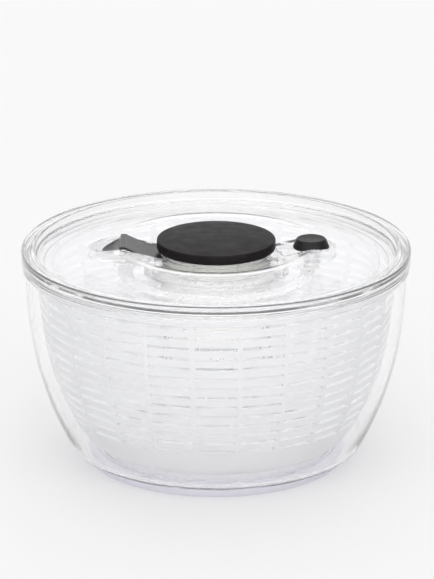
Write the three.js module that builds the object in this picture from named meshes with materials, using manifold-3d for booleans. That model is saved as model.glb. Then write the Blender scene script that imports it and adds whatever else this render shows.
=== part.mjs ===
// Salad spinner: clear bowl, slotted basket, and a clear lid that carries a push-down
// plunger drive, a sliding lock lever and a brake button.
// Millimetres, +Z up. Origin: middle of the foot ring's underside. The front is -Y,
// the lock lever is on -X and the brake button is on +X.
import * as THREE from 'three';
import { mergeVertices } from 'three/addons/utils/BufferGeometryUtils.js';
import Module from 'manifold-3d';

const wasm = await Module();
wasm.setup();

// ---------------------------------------------------------------- driving dimensions
const ROUND = 32;              // facets round a large turned piece
const ROUND_HIDDEN = 24;       // facets round a turned piece inside the drive
const ROUND_SMALL = 12;        // facets round a pin, screw or button stem
const GAP = 0.4;               // clearance between neighbouring pieces

// Bowl and foot
const BOWL_WALL = 2.8;
const BOWL_RIM_RADIUS = 132.6;
const BOWL_RIM_TOP = 140.6;
const BOWL_RIM_BOTTOM = 135.6;
const BOWL_TOP_RADIUS = 130.5;
const BOWL_UNDERSIDE = 7.8;
const FOOT_RADIUS = 90;
const FOOT_INNER_RADIUS = 78;
const HOOP_INNER = 81.5;
const HOOP_OUTER = 84.5;
const HOOP_BOTTOM = 3;
const SPINDLE_RADIUS = 4.5;
const SPINDLE_TOP = 17.5;

// Basket
const RIB_COUNT = 24;
const RIB_WIDTH_DEG = 1.6;
const SLOT_ROWS = 14;
const SLOT_PITCH = 7.08;
const SLOT_HEIGHT = 2.4;
const TOP_SLOT_Z = 130.8;
const BASKET_BOTTOM = 15;
const BASKET_FLOOR = 17.4;
const BASKET_TOP = 136;
const BASKET_WALL = 2.2;
const BASKET_TOP_RADIUS = 121.5;
const FLOOR_SLOTS = [[38, 50], [54, 66]];   // inner and outer radius of each ring of slots

// Lid
const LID_RADIUS = 133.35;
const LID_TOP = 149.9;
const SKIRT_BOTTOM = 141;
const LOCATING_OUTER = 127;
const LOCATING_INNER = 124.5;
const LOCATING_BOTTOM = 134.5;
const GROOVE_TOP = 143.8;
const PLATE = 2.5;
const DISH_RADIUS = 67.2;
const DISH_TOP = 151.9;
const COLLAR_INNER = 35.5;
const COLLAR_OUTER = 37.7;
const COLLAR_TOP = 146.6;
const COLLAR_BOTTOM = 135;
const POCKET_FLOOR = 143;
const POCKET_FLOOR_THICKNESS = 2;
const POCKET_WALL = 1.6;
const LEVER_POCKET_HALF_WIDTH = 15.5;
const LEVER_POCKET_END = -86;
const BRAKE_POCKET_RADIUS = 15.4;
const BRAKE_X = 65;

// Plunger, knob and helix drive
const PLUNGER_RADIUS = 34.9;
const PLUNGER_WALL = 2;
const PLUNGER_TOP = 147.8;
const PLUNGER_BOTTOM = 88;
const GUIDE_TUBE_OUTER = 9.5;
const GUIDE_TUBE_INNER = 7.6;
const GUIDE_TUBE_BOTTOM = 86;
const KEY_ANGLES_DEG = [64.6, 115.4, 244.6, 295.4];
const KEY_WIDTH = 1.6;
const KNOB_RADIUS = 40.7;
const KNOB_BOTTOM = 148.2;
const KNOB_TOP = 157;
const HELIX_LEAD = 30;
const HELIX_WIDTH = 9;
const HELIX_THICKNESS = 4;
const HELIX_BOTTOM = 84.5;
const HELIX_TOP = 139.5;
const HELIX_STEP = 1.25;
const HELIX_GAP = 0.8;
const ROD_PIN_RADIUS = 3;
const ROD_PIN_BOTTOM = 74;
const NUT_BOTTOM = 87;
const NUT_TOP = 95;
const SPRING_RADIUS = 11.7;
const SPRING_BOTTOM = 85.4;
const SPRING_TOP = 145.4;
const SPRING_TURNS = 7;

// Drive cup, clutch and turntable
const CUP_INNER = 36.2;
const CUP_OUTER = 38.2;
const CUP_BOTTOM = 75;
const CUP_TOP = 134.6;
const CUP_FLANGE_RADIUS = 43.5;
const CUP_FLANGE_BOTTOM = 132.5;
const CUP_CAP_RADIUS = 40;
const CUP_CAP_BOTTOM = 71.5;
const RATCHET_TEETH = 18;
const RATCHET_BOTTOM = 77;
const RATCHET_TOP = 81;
const RATCHET_ROOT_RADIUS = 29.6;
const RATCHET_TIP_RADIUS = 27.2;
const PAWL_COUNT = 3;
const TURNTABLE_TOP = 129.8;
const TURNTABLE_BOTTOM = 127.4;
const BRAKE_RING_INNER = 57;
const BRAKE_RING_TOP = 130.3;
const TABLE_RIM_INNER = 112;
const TABLE_RIM_OUTER = 118;
const CARRIER_BOTTOM = 130.4;
const CARRIER_TOP = 139.4;
const CARRIER_OUTER = 47.5;
const CARRIER_SCREWS_DEG = [90, 210, 330];
const CARRIER_SCREW_RADIUS = 51;

// Lock lever and brake
const LEVER_HALF_WIDTH = 15;
const LEVER_END = -78.2;
const LEVER_BASE = POCKET_FLOOR + GAP;
const LEVER_THICKNESS = 1.6;
const LEVER_STEM_X = -57;
const LEVER_STEM_TOP = 146.4;
const LOCK_TRAVEL = 7;
const BRAKE_PAD_BOTTOM = 132.9;

// ---------------------------------------------------------------- materials
const material = (color, roughness, opacity = 1) => new THREE.MeshStandardMaterial({
  color, roughness, metalness: 0, opacity, transparent: opacity < 1,
});
const CLEAR = material(0xf4f6f6, 0.08, 0.3);
const FROSTED = material(0xf0f2f3, 0.35, 0.75);
const FOOT_TINT = material(0xc4c2cc, 0.4, 0.8);
const IVORY = material(0xf4f2e2, 0.3);
const WHITE = material(0xf2f2f0, 0.4);
const SOFT_BLACK = material(0x302d30, 0.7);
const SMOKE = material(0x3c3b3d, 0.25);
const RUBBER = material(0x1d1c1e, 0.6);
const STEEL = new THREE.MeshStandardMaterial({ color: 0xb9bcc0, roughness: 0.3, metalness: 1 });

// ---------------------------------------------------------------- solids
const group = new THREE.Group();
const radians = THREE.MathUtils.degToRad;

// A closed three.js geometry as a manifold solid, whichever way its faces were wound.
function toSolid(geometry) {
  const plain = geometry.clone();
  plain.deleteAttribute('normal');
  plain.deleteAttribute('uv');
  const merged = mergeVertices(plain, 1e-3);
  const place = merged.attributes.position.array;
  const index = merged.index.array;
  const triangles = [];
  for (let i = 0; i < index.length; i += 3) {
    const [a, b, c] = [index[i], index[i + 1], index[i + 2]];
    if (a !== b && b !== c && c !== a) triangles.push(a, b, c);
  }
  let volume = 0;
  const corners = [new THREE.Vector3(), new THREE.Vector3(), new THREE.Vector3()];
  for (let i = 0; i < triangles.length; i += 3) {
    corners.forEach((corner, k) => corner.fromArray(place, triangles[i + k] * 3));
    volume += corners[0].dot(corners[1].cross(corners[2]));
  }
  if (volume < 0) {
    for (let i = 0; i < triangles.length; i += 3) {
      [triangles[i], triangles[i + 1]] = [triangles[i + 1], triangles[i]];
    }
  }
  return new wasm.Manifold(new wasm.Mesh({
    numProp: 3,
    vertProperties: new Float32Array(place),
    triVerts: new Uint32Array(triangles),
  }));
}

function addMesh(name, solid, meshMaterial) {
  const { vertProperties, triVerts } = solid.getMesh();
  const geometry = new THREE.BufferGeometry();
  geometry.setAttribute('position', new THREE.BufferAttribute(vertProperties, 3));
  geometry.setIndex(new THREE.BufferAttribute(triVerts, 1));
  geometry.computeVertexNormals();
  const mesh = new THREE.Mesh(geometry, meshMaterial);
  mesh.name = name;
  group.add(mesh);
}

// A solid turned about Z from an outline of [radius, height] points.
function lathe(outline, facets = ROUND) {
  const points = outline.map(([r, z]) => new THREE.Vector2(r, z));
  const onAxis = outline[0][0] === 0 && outline.at(-1)[0] === 0;
  if (!onAxis) points.push(points[0].clone());
  return toSolid(new THREE.LatheGeometry(points, facets).rotateX(Math.PI / 2));
}

const ring = (inner, outer, bottom, top, facets = ROUND) => lathe(
  [[inner, bottom], [outer, bottom], [outer, top], [inner, top]], facets,
);

const disc = (radius, bottom, top, facets = ROUND) => lathe(
  [[0, bottom], [radius, bottom], [radius, top], [0, top]], facets,
);

const pin = (radius, bottom, top, x = 0, y = 0) => toSolid(
  new THREE.CylinderGeometry(radius, radius, top - bottom, ROUND_SMALL)
    .rotateX(Math.PI / 2).translate(x, y, (bottom + top) / 2),
);

const block = (x0, x1, y0, y1, z0, z1) => toSolid(
  new THREE.BoxGeometry(x1 - x0, y1 - y0, z1 - z0)
    .translate((x0 + x1) / 2, (y0 + y1) / 2, (z0 + z1) / 2),
);

const prism = (shape, bottom, top, curveSegments = 8) => toSolid(
  new THREE.ExtrudeGeometry(shape, { depth: top - bottom, bevelEnabled: false, curveSegments })
    .translate(0, 0, bottom),
);

// A straight-sided bar from x = 0 to a round end, seen from above.
function roundEndedBar(halfWidth, endX) {
  const side = Math.sign(endX);
  const centre = endX - side * halfWidth;
  const shape = new THREE.Shape();
  shape.moveTo(0, -side * halfWidth);
  shape.lineTo(centre, -side * halfWidth);
  const start = side > 0 ? -Math.PI / 2 : Math.PI / 2;
  shape.absarc(centre, 0, halfWidth, start, start + Math.PI, false);
  shape.lineTo(0, side * halfWidth);
  shape.closePath();
  return shape;
}

const onCircle = (radius, degrees) => [
  radius * Math.cos(radians(degrees)), radius * Math.sin(radians(degrees)),
];

const curve = (...points) => new THREE.CubicBezierCurve(
  ...points.map(([r, z]) => new THREE.Vector2(r, z)),
);

const sample = (line, steps) => line.getPoints(steps).map((p) => [p.x, p.y]);

// Radius of a rising wall curve at one height.
function radiusAt(line, height) {
  let low = 0;
  let high = 1;
  for (let i = 0; i < 40; i += 1) {
    const middle = (low + high) / 2;
    if (line.getPoint(middle).y < height) low = middle;
    else high = middle;
  }
  return line.getPoint(low).x;
}

// ---------------------------------------------------------------- bowl and foot
function bowlShell() {
  const outer = curve([101, 10.2], [120.3, 45], [BOWL_TOP_RADIUS, 85], [BOWL_TOP_RADIUS, 135]);
  const insideTop = BOWL_TOP_RADIUS - BOWL_WALL;
  const floor = BOWL_UNDERSIDE + BOWL_WALL;
  const inner = curve([insideTop, 135], [insideTop, 86], [117.6, 46.4], [98.4, 13]);
  return lathe([
    [0, BOWL_UNDERSIDE],
    [HOOP_INNER, BOWL_UNDERSIDE],
    [HOOP_INNER, HOOP_BOTTOM],
    [HOOP_OUTER, HOOP_BOTTOM],
    [HOOP_OUTER, BOWL_UNDERSIDE],
    [94, BOWL_UNDERSIDE],
    [98.4, 8.4],
    ...sample(outer, 8),
    [BOWL_RIM_RADIUS, BOWL_RIM_BOTTOM],
    [BOWL_RIM_RADIUS, BOWL_RIM_TOP - 0.6],
    [BOWL_RIM_RADIUS - 0.6, BOWL_RIM_TOP],
    [insideTop + 0.5, BOWL_RIM_TOP],
    [insideTop, BOWL_RIM_TOP - 0.5],
    ...sample(inner, 7),
    [95.6, 11.1],
    [91, floor],
    [SPINDLE_RADIUS, floor],
    [SPINDLE_RADIUS, SPINDLE_TOP],
    [0, SPINDLE_TOP],
  ]);
}

function footRing() {
  const top = BOWL_UNDERSIDE - GAP;
  const groove = HOOP_BOTTOM - GAP;
  return lathe([
    [FOOT_INNER_RADIUS, 0],
    [FOOT_RADIUS - 1, 0],
    [FOOT_RADIUS, 1],
    [FOOT_RADIUS, top - 0.8],
    [FOOT_RADIUS - 0.8, top],
    [HOOP_OUTER + GAP, top],
    [HOOP_OUTER + GAP, groove],
    [HOOP_INNER - GAP, groove],
    [HOOP_INNER - GAP, top],
    [FOOT_INNER_RADIUS, top],
  ]);
}

function pivotCap() {
  const bore = SPINDLE_RADIUS + GAP;
  return lathe([
    [bore, 11.1],
    [9, 11.1],
    [9, 13],
    [6, 13],
    [6, 20],
    [5.3, 20.7],
    [0, 20.7],
    [0, SPINDLE_TOP + GAP],
    [bore, SPINDLE_TOP + GAP],
  ], ROUND_HIDDEN);
}

// ---------------------------------------------------------------- basket
// Matching points of the basket's outside and inside, from the hub out to the rim.
// A band marked slot is cut away between the ribs, as far as the next point.
function basketLevels() {
  const outside = curve([90, 17], [111.2, 43], [BASKET_TOP_RADIUS, 85], [BASKET_TOP_RADIUS, 133]);
  const insideTop = BASKET_TOP_RADIUS - BASKET_WALL;
  const inside = curve([87.6, 19], [109, 44.4], [insideTop, 86], [insideTop, 133]);
  const levels = [
    { out: [6.4, 21.1], in: [8.2, 23.4] },
    { out: [6.4, BASKET_BOTTOM], in: [9.4, BASKET_FLOOR] },
  ];
  for (const [near, far] of FLOOR_SLOTS) {
    levels.push({ out: [near, BASKET_BOTTOM], in: [near, BASKET_FLOOR], slot: true });
    levels.push({ out: [far, BASKET_BOTTOM], in: [far, BASKET_FLOOR] });
  }
  levels.push({ out: [82, BASKET_BOTTOM], in: [81, BASKET_FLOOR] });
  const wall = (z, slot = false) => levels.push({
    out: [radiusAt(outside, z), z], in: [radiusAt(inside, z), z], slot,
  });
  [21, 27].forEach((z) => wall(z));
  for (let row = SLOT_ROWS - 1; row >= 0; row -= 1) {
    const middle = TOP_SLOT_Z - row * SLOT_PITCH;
    wall(middle - SLOT_HEIGHT / 2, true);
    wall(middle + SLOT_HEIGHT / 2);
  }
  levels.push({ out: [BASKET_TOP_RADIUS + 0.9, 133.4], in: [insideTop, 133.4] });
  levels.push({ out: [BASKET_TOP_RADIUS + 0.9, BASKET_TOP], in: [insideTop, BASKET_TOP] });
  return levels;
}

function basket() {
  const levels = basketLevels();
  const columns = RIB_COUNT * 2;
  const pitch = 360 / RIB_COUNT;
  const positions = [];
  // Column lines in turn on each side of a rib; the front (-Y) lies between two ribs.
  const lineAngle = (line) => {
    const rib = Math.floor(line / 2);
    const side = line % 2 === 0 ? -0.5 : 0.5;
    return -90 + (rib + 0.5) * pitch + side * RIB_WIDTH_DEG;
  };
  for (const face of ['out', 'in']) {
    for (const level of levels) {
      for (let line = 0; line < columns; line += 1) {
        const [r, z] = level[face];
        positions.push(...onCircle(r, lineAngle(line)), z);
      }
    }
  }
  const vertex = (face, level, line) => (face * levels.length + level) * columns + (line % columns);
  const hubs = [positions.length / 3, positions.length / 3 + 1];
  positions.push(0, 0, levels[0].out[1], 0, 0, levels[0].in[1]);
  const index = [];
  const quad = (a, b, c, d) => index.push(a, b, c, a, c, d);
  const last = levels.length - 1;
  for (let line = 0; line < columns; line += 1) {
    index.push(hubs[0], vertex(0, 0, line + 1), vertex(0, 0, line));
    index.push(hubs[1], vertex(1, 0, line), vertex(1, 0, line + 1));
    quad(vertex(0, last, line), vertex(0, last, line + 1),
      vertex(1, last, line + 1), vertex(1, last, line));
    for (let k = 0; k < last; k += 1) {
      const open = levels[k].slot && line % 2 === 1;
      if (!open) {
        quad(vertex(0, k, line), vertex(0, k, line + 1),
          vertex(0, k + 1, line + 1), vertex(0, k + 1, line));
        quad(vertex(1, k, line), vertex(1, k + 1, line),
          vertex(1, k + 1, line + 1), vertex(1, k, line + 1));
      } else {
        quad(vertex(0, k, line), vertex(0, k, line + 1),
          vertex(1, k, line + 1), vertex(1, k, line));
        quad(vertex(0, k + 1, line + 1), vertex(0, k + 1, line),
          vertex(1, k + 1, line), vertex(1, k + 1, line + 1));
        quad(vertex(0, k, line + 1), vertex(0, k + 1, line + 1),
          vertex(1, k + 1, line + 1), vertex(1, k, line + 1));
        quad(vertex(0, k + 1, line), vertex(0, k, line),
          vertex(1, k, line), vertex(1, k + 1, line));
      }
    }
  }
  const geometry = new THREE.BufferGeometry();
  geometry.setAttribute('position', new THREE.Float32BufferAttribute(positions, 3));
  geometry.setIndex(index);
  return toSolid(geometry);
}

// ---------------------------------------------------------------- lid
// Top of the lid plate from the valley inside the rim, up to the dish, down to the collar.
const PLATE_TOP = [
  [COLLAR_OUTER, 145], [42, 145.6], [DISH_RADIUS - 1, DISH_TOP - 0.3], [DISH_RADIUS + 1, DISH_TOP],
  [80, 150.1], [95, 147.3], [113, 144.5], [121, 143.9],
];

function lidBody() {
  const underPlate = PLATE_TOP.map(([r, z]) => [r, z - PLATE]);
  const rimInner = LOCATING_INNER - 0.4;
  return lathe([
    [COLLAR_INNER, COLLAR_BOTTOM],
    [COLLAR_OUTER, COLLAR_BOTTOM],
    ...underPlate,
    [LOCATING_INNER, 141.4],
    [LOCATING_INNER, LOCATING_BOTTOM],
    [LOCATING_OUTER, LOCATING_BOTTOM],
    [LOCATING_OUTER, GROOVE_TOP],
    [LID_RADIUS - 2.6, GROOVE_TOP],
    [LID_RADIUS - 2.6, SKIRT_BOTTOM],
    [LID_RADIUS, SKIRT_BOTTOM],
    [LID_RADIUS, 148],
    [LID_RADIUS - 0.7, 149.3],
    [LID_RADIUS - 2.1, LID_TOP],
    [rimInner + 2, LID_TOP],
    [rimInner + 0.5, 149.2],
    [rimInner, 147.8],
    [rimInner - 0.6, 144.6],
    ...PLATE_TOP.toReversed(),
    [COLLAR_OUTER, COLLAR_TOP],
    [COLLAR_INNER, COLLAR_TOP],
  ]);
}

function lidShell() {
  const under = POCKET_FLOOR - POCKET_FLOOR_THICKNESS;
  const topOfAll = DISH_TOP + 5;
  const belowPlateTop = lathe([[COLLAR_OUTER - 0.5, under], [104, under], [104, 145.9],
    ...PLATE_TOP.slice(0, 6).toReversed(), [COLLAR_OUTER - 0.5, 145]]);
  const insideCollar = disc(COLLAR_OUTER + 0.3, under - 10, topOfAll);
  const pockets = [
    [LEVER_POCKET_HALF_WIDTH, LEVER_POCKET_END],
    [BRAKE_POCKET_RADIUS, BRAKE_X + BRAKE_POCKET_RADIUS],
  ];
  let lid = lidBody();
  for (const [halfWidth, endX] of pockets) {
    const outside = roundEndedBar(halfWidth + POCKET_WALL, endX + Math.sign(endX) * POCKET_WALL);
    lid = lid.add(prism(outside, under, topOfAll).intersect(belowPlateTop));
  }
  for (const [halfWidth, endX] of pockets) {
    const cutter = prism(roundEndedBar(halfWidth, endX), POCKET_FLOOR, topOfAll);
    lid = lid.subtract(cutter.subtract(insideCollar));
  }
  for (const angle of CARRIER_SCREWS_DEG) {
    const [x, y] = onCircle(CARRIER_SCREW_RADIUS, angle);
    lid = lid.add(pin(4.2, CARRIER_TOP + GAP, 146, x, y));
    lid = lid.subtract(pin(1.9, CARRIER_TOP, 144, x, y));
  }
  for (const angle of KEY_ANGLES_DEG) {
    const key = block(COLLAR_INNER - 0.9, COLLAR_INNER + 1, -KEY_WIDTH / 2, KEY_WIDTH / 2,
      COLLAR_BOTTOM, COLLAR_TOP - 1).rotate([0, 0, angle]);
    lid = lid.add(key);
  }
  const leverSlot = block(LEVER_STEM_X - 5.6 - LOCK_TRAVEL, LEVER_STEM_X + 5.6, -4.6, 4.6,
    under - 1, POCKET_FLOOR + 1);
  const tongueWindow = block(-COLLAR_OUTER - 2, -COLLAR_INNER + 3, -5.7, 5.7,
    POCKET_FLOOR, POCKET_FLOOR + 2.4);
  return lid
    .subtract(leverSlot)
    .subtract(tongueWindow)
    .subtract(pin(4.9, under - 1, POCKET_FLOOR + 1, BRAKE_X));
}

// Carries the spinning drive cup on its lip and hangs from the lid by three screws.
function rotorCarrier() {
  let carrier = lathe([
    [CUP_OUTER + 0.6, CARRIER_BOTTOM],
    [CARRIER_OUTER, CARRIER_BOTTOM],
    [CARRIER_OUTER, CARRIER_TOP],
    [45, CARRIER_TOP],
    [45, CUP_FLANGE_BOTTOM - GAP],
    [CUP_OUTER + 0.6, CUP_FLANGE_BOTTOM - GAP],
  ]);
  for (const angle of CARRIER_SCREWS_DEG) {
    const [x, y] = onCircle(CARRIER_SCREW_RADIUS, angle);
    carrier = carrier.add(pin(4.8, CARRIER_TOP - 2.8, CARRIER_TOP, x, y));
    carrier = carrier.subtract(pin(1.9, CARRIER_TOP - 4, CARRIER_TOP + 1, x, y));
  }
  return carrier;
}

function panScrew(shankRadius, headBottom, headTop, tip, x, y) {
  return pin(shankRadius * 2, headBottom, headTop, x, y).add(pin(shankRadius, headTop - 0.5, tip, x, y));
}

// ---------------------------------------------------------------- plunger and helix drive
// A bar whose section turns one full turn for each lead of height.
function twistedBar(width, thickness, bottom, top) {
  const steps = Math.round((top - bottom) / HELIX_STEP);
  const bar = new THREE.BoxGeometry(width, thickness, top - bottom, 2, 1, steps);
  bar.translate(0, 0, (bottom + top) / 2);
  const place = bar.attributes.position;
  for (let i = 0; i < place.count; i += 1) {
    const angle = (2 * Math.PI * place.getZ(i)) / HELIX_LEAD;
    const [x, y] = [place.getX(i), place.getY(i)];
    place.setXY(i, x * Math.cos(angle) - y * Math.sin(angle), x * Math.sin(angle) + y * Math.cos(angle));
  }
  return toSolid(bar);
}

const helixRod = () => twistedBar(HELIX_WIDTH, HELIX_THICKNESS, HELIX_BOTTOM, HELIX_TOP)
  .add(pin(ROD_PIN_RADIUS, ROD_PIN_BOTTOM, HELIX_BOTTOM + 1));

const driveNut = () => pin(GUIDE_TUBE_INNER - GAP, NUT_BOTTOM, NUT_TOP)
  .subtract(twistedBar(HELIX_WIDTH + 2 * HELIX_GAP, HELIX_THICKNESS + 2 * HELIX_GAP,
    NUT_BOTTOM - HELIX_STEP, NUT_TOP + HELIX_STEP));

function plungerBody() {
  const ceiling = PLUNGER_TOP - PLUNGER_WALL;
  let plunger = lathe([
    [0, ceiling],
    [GUIDE_TUBE_INNER, ceiling],
    [GUIDE_TUBE_INNER, GUIDE_TUBE_BOTTOM],
    [GUIDE_TUBE_OUTER, GUIDE_TUBE_BOTTOM],
    [GUIDE_TUBE_OUTER, ceiling],
    [PLUNGER_RADIUS - PLUNGER_WALL, ceiling],
    [PLUNGER_RADIUS - PLUNGER_WALL, PLUNGER_BOTTOM],
    [PLUNGER_RADIUS, PLUNGER_BOTTOM],
    [PLUNGER_RADIUS, PLUNGER_TOP],
    [0, PLUNGER_TOP],
  ]);
  for (const angle of KEY_ANGLES_DEG) {
    const groove = block(PLUNGER_RADIUS - 0.9, PLUNGER_RADIUS + 2, -KEY_WIDTH / 2 - GAP,
      KEY_WIDTH / 2 + GAP, PLUNGER_BOTTOM - 1, COLLAR_TOP).rotate([0, 0, angle]);
    plunger = plunger.subtract(groove);
  }
  return plunger;
}

const knobCore = () => disc(36, KNOB_BOTTOM, 152.2, ROUND_HIDDEN);

function knobCap() {
  const cavity = 152.6;
  return lathe([
    [0, cavity],
    [36.4, cavity],
    [36.4, KNOB_BOTTOM],
    [KNOB_RADIUS - 0.6, KNOB_BOTTOM],
    [KNOB_RADIUS, KNOB_BOTTOM + 0.6],
    [KNOB_RADIUS, 153.7],
    [KNOB_RADIUS - 0.9, 154.5],
    [28, 156],
    [14, KNOB_TOP - 0.2],
    [0, KNOB_TOP],
  ]);
}

function coilSpring(radius, wire, bottom, top, turns, x = 0) {
  class Coil extends THREE.Curve {
    getPoint(t, target = new THREE.Vector3()) {
      const angle = t * turns * 2 * Math.PI;
      const z = THREE.MathUtils.lerp(bottom + wire, top - wire, t);
      return target.set(x + radius * Math.cos(angle), radius * Math.sin(angle), z);
    }
  }
  const section = new THREE.Shape();
  for (let corner = 0; corner < 5; corner += 1) {
    const [u, v] = onCircle(wire, corner * 72);
    if (corner === 0) section.moveTo(u, v);
    else section.lineTo(u, v);
  }
  return toSolid(new THREE.ExtrudeGeometry(section, { steps: turns * 10, extrudePath: new Coil() }));
}

// ---------------------------------------------------------------- drive cup and clutch
const driveCup = () => lathe([
  [CUP_INNER, CUP_BOTTOM],
  [CUP_OUTER, CUP_BOTTOM],
  [CUP_OUTER, CUP_FLANGE_BOTTOM],
  [CUP_FLANGE_RADIUS, CUP_FLANGE_BOTTOM],
  [CUP_FLANGE_RADIUS, CUP_TOP],
  [CUP_INNER, CUP_TOP],
]);

const cupBottomCap = () => lathe([
  [0, CUP_CAP_BOTTOM],
  [CUP_CAP_RADIUS - 0.6, CUP_CAP_BOTTOM],
  [CUP_CAP_RADIUS, CUP_CAP_BOTTOM + 0.6],
  [CUP_CAP_RADIUS, CUP_BOTTOM - GAP],
  [CUP_INNER - GAP, CUP_BOTTOM - GAP],
  [CUP_INNER - GAP, RATCHET_BOTTOM - GAP],
  [ROD_PIN_RADIUS + GAP, RATCHET_BOTTOM - GAP],
  [ROD_PIN_RADIUS + GAP, ROD_PIN_BOTTOM - GAP],
  [0, ROD_PIN_BOTTOM - GAP],
], ROUND_HIDDEN);

function ratchetRing() {
  const outline = new THREE.Shape();
  outline.absarc(0, 0, CUP_INNER - GAP, 0, 2 * Math.PI, false);
  const teeth = new THREE.Path();
  for (let tooth = 0; tooth < RATCHET_TEETH; tooth += 1) {
    const angle = (tooth * 360) / RATCHET_TEETH;
    const tip = onCircle(RATCHET_TIP_RADIUS, angle);
    if (tooth === 0) teeth.moveTo(...tip);
    else teeth.lineTo(...tip);
    teeth.lineTo(...onCircle(RATCHET_ROOT_RADIUS, angle + 1));
  }
  teeth.closePath();
  outline.holes.push(teeth);
  return prism(outline, RATCHET_BOTTOM, RATCHET_TOP, ROUND_HIDDEN);
}

const CLUTCH_BOTTOM = RATCHET_BOTTOM + GAP;
const CLUTCH_TOP = RATCHET_TOP - GAP;

// The rotor turns with the rod. Three posts hold the pawls outside its hub.
function clutchRotor() {
  let rotor = pin(15, CLUTCH_BOTTOM, CLUTCH_TOP);
  for (let arm = 0; arm < PAWL_COUNT; arm += 1) {
    const post = block(13, 20, -3, 3, CLUTCH_BOTTOM, CLUTCH_TOP).rotate([0, 0, (arm * 360) / PAWL_COUNT]);
    rotor = rotor.add(post);
  }
  return rotor.subtract(pin(ROD_PIN_RADIUS + GAP, CLUTCH_BOTTOM - 1, CLUTCH_TOP + 1));
}

function pawl(number) {
  const shape = new THREE.Shape();
  shape.moveTo(20.5, -2.5);
  shape.lineTo(22.8, -2.5);
  shape.lineTo(25.2, 8.2);
  shape.lineTo(23.4, 8.5);
  shape.lineTo(20.5, 1.5);
  shape.closePath();
  return prism(shape, CLUTCH_BOTTOM, CLUTCH_TOP).rotate([0, 0, (number * 360) / PAWL_COUNT]);
}

// ---------------------------------------------------------------- turntable
const turntable = () => lathe([
  [CUP_OUTER + GAP, TURNTABLE_BOTTOM],
  [DISH_RADIUS + 0.8, TURNTABLE_BOTTOM],
  [TABLE_RIM_INNER, 135.6],
  [TABLE_RIM_INNER, 133.6],
  [TABLE_RIM_OUTER, 133.6],
  [TABLE_RIM_OUTER, BASKET_TOP + 0.6],
  [BASKET_TOP_RADIUS, BASKET_TOP + 0.6],
  [BASKET_TOP_RADIUS, BASKET_TOP + 2.6],
  [TABLE_RIM_INNER - 1, BASKET_TOP + 2.6],
  [DISH_RADIUS, TURNTABLE_TOP],
  [DISH_RADIUS, BRAKE_RING_TOP],
  [BRAKE_RING_INNER, BRAKE_RING_TOP],
  [BRAKE_RING_INNER, TURNTABLE_TOP],
  [CUP_OUTER + GAP, TURNTABLE_TOP],
]);

// ---------------------------------------------------------------- lock lever and brake
// The lever is one thin strap: flat at the collar, up to a thumb ridge, then down to its tail.
function lockLever() {
  const top = [
    [-34, LEVER_BASE + LEVER_THICKNESS], [-42, 145.2], [-49, 147.1], [-55, 149.7], [-61.4, 152.7],
    [-61.6, 153.2], [-65.6, 153.2], [-66.2, 150.6], [-70, 149], [-74, 147.9], [-79, 147.3],
  ];
  const underside = [
    [-79, 145.7], [-74, 146.3], [-70, 147.4], [-66.4, 148.9], [-64.6, 151.3], [-62.4, 151.3], [-55, 148.1],
    [-49, 145.5], [-42, 143.6], [-39, LEVER_BASE], [-34, LEVER_BASE],
  ];
  const side = new THREE.Shape();
  [...top, ...underside].forEach(([x, z], i) => (i === 0 ? side.moveTo(x, z) : side.lineTo(x, z)));
  side.closePath();
  const width = LEVER_HALF_WIDTH * 2;
  const strap = toSolid(
    new THREE.ExtrudeGeometry(side, { depth: width, bevelEnabled: false })
      .rotateX(Math.PI / 2).translate(0, LEVER_HALF_WIDTH, 0),
  );
  const plan = prism(roundEndedBar(LEVER_HALF_WIDTH, LEVER_END), LEVER_BASE - 1, 160);
  const tongue = block(-39, -PLUNGER_RADIUS - 0.5, -5.2, 5.2, LEVER_BASE, LEVER_BASE + LEVER_THICKNESS);
  const boss = pin(3.4, LEVER_STEM_TOP + GAP, 149.4, LEVER_STEM_X);
  return strap
    .intersect(plan)
    .subtract(disc(COLLAR_OUTER + 0.7, LEVER_BASE - 1, 160))
    .add(tongue)
    .add(boss)
    .subtract(pin(1.8, LEVER_STEM_TOP - 1, 149.2, LEVER_STEM_X));
}

// Holds the lever down: a stem through the pocket's slot on a plate under the pocket's floor.
const lockRetainer = () => block(-66, -49.8, -7, 7, 138.4, 140.6)
  .add(block(LEVER_STEM_X - 4.6, LEVER_STEM_X + 4.6, -3.8, 3.8, 140, LEVER_STEM_TOP))
  .subtract(pin(1.8, 138, LEVER_STEM_TOP + 1, LEVER_STEM_X));

const brakeButton = () => lathe([
  [0, 148.3], [12.4, 148.3], [12.4, 149.2], [10.4, 154], [9.4, 154.9], [8.2, 155], [6.6, 154.7],
  [0, 154.3],
], ROUND_HIDDEN).translate([BRAKE_X, 0, 0]);

const brakeStem = () => lathe([
  [0, 134.8], [4.4, 134.8], [4.4, 138.6], [6.4, 138.6], [6.4, 140.6], [4.4, 140.6], [4.4, 147.9],
  [0, 147.9],
], ROUND_HIDDEN).translate([BRAKE_X, 0, 0]);

// ---------------------------------------------------------------- assembly
addMesh('bowl_shell', bowlShell(), CLEAR);
addMesh('foot_ring', footRing(), FOOT_TINT);
addMesh('pivot_cap', pivotCap(), WHITE);
addMesh('basket', basket(), FROSTED);

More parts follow.
